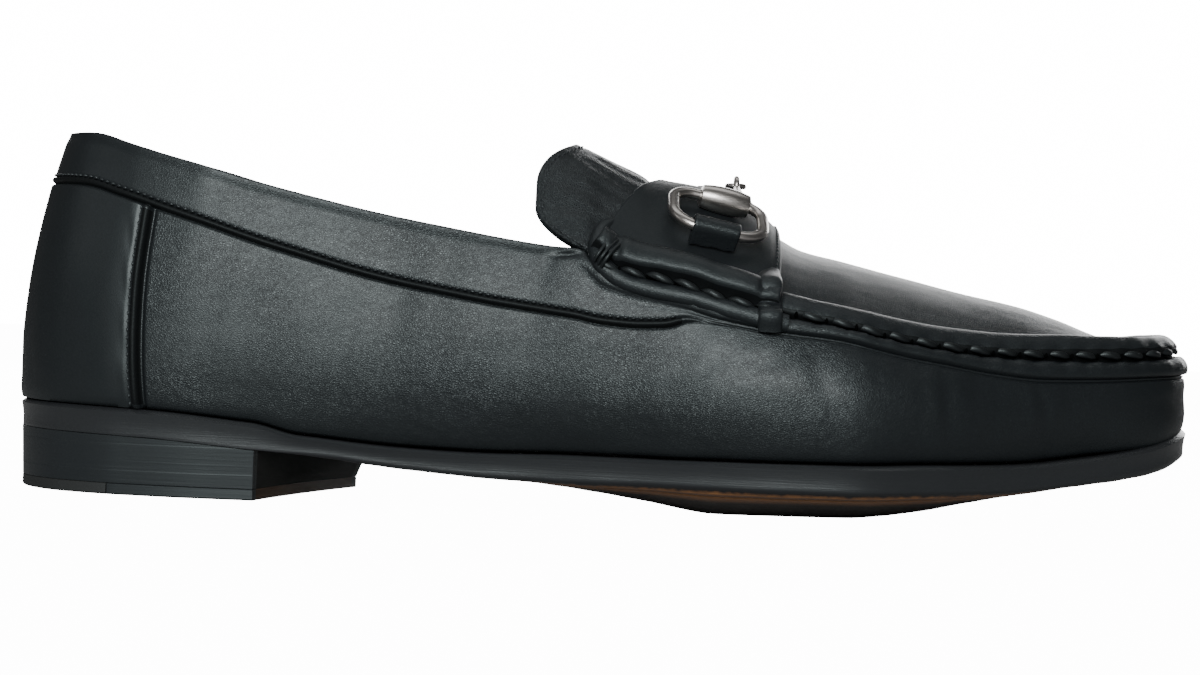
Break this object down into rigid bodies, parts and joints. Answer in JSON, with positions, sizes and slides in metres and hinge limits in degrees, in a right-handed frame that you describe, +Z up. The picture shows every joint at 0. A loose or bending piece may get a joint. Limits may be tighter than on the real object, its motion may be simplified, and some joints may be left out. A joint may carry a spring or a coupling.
{
  "type": "bit loafer",
  "caption": "Right slip-on dress loafer: hollow leather upper with a gathered toe seam, saddle strap with a two-part metal bit, tongue, leather sole and stacked heel",
  "frame": {"origin": "on the floor, under the middle of the bounding box", "axes": "+X runs from heel to toe, +Z is up, -Y is the lateral side of this right shoe"},
  "size_m": [0.3022, 0.1024, 0.0933],
  "materials": {
    "sole_black": "black edge dressing over a leather sole, satin",
    "heel_black": "stacked leather with black edge dressing, satin",
    "lift_leather": "waxed leather top piece",
    "tip_rubber": "matt black rubber",
    "insole_leather": "smooth sock leather, dark",
    "upper_leather": "black full-grain leather, soft gloss",
    "tongue_leather": "black full-grain leather, soft gloss",
    "saddle_leather": "black smooth leather, soft gloss",
    "keeper_leather": "black smooth leather, glossy",
    "satin_nickel": "satin nickel plate"
  },
  "bodies": {
    "root": {"outsole": "sole_black", "heel_stack": "heel_black", "heel_lift": "lift_leather", "heel_tip": "tip_rubber", "insole": "insole_leather", "upper": "upper_leather", "tongue": "tongue_leather", "saddle": "saddle_leather", "keeper_lateral": "keeper_leather", "keeper_medial": "keeper_leather", "ring_lateral": "satin_nickel", "ring_medial": "satin_nickel", "bit_half_lateral": "satin_nickel", "bit_half_medial": "satin_nickel"}
  },
  "joints": []
}
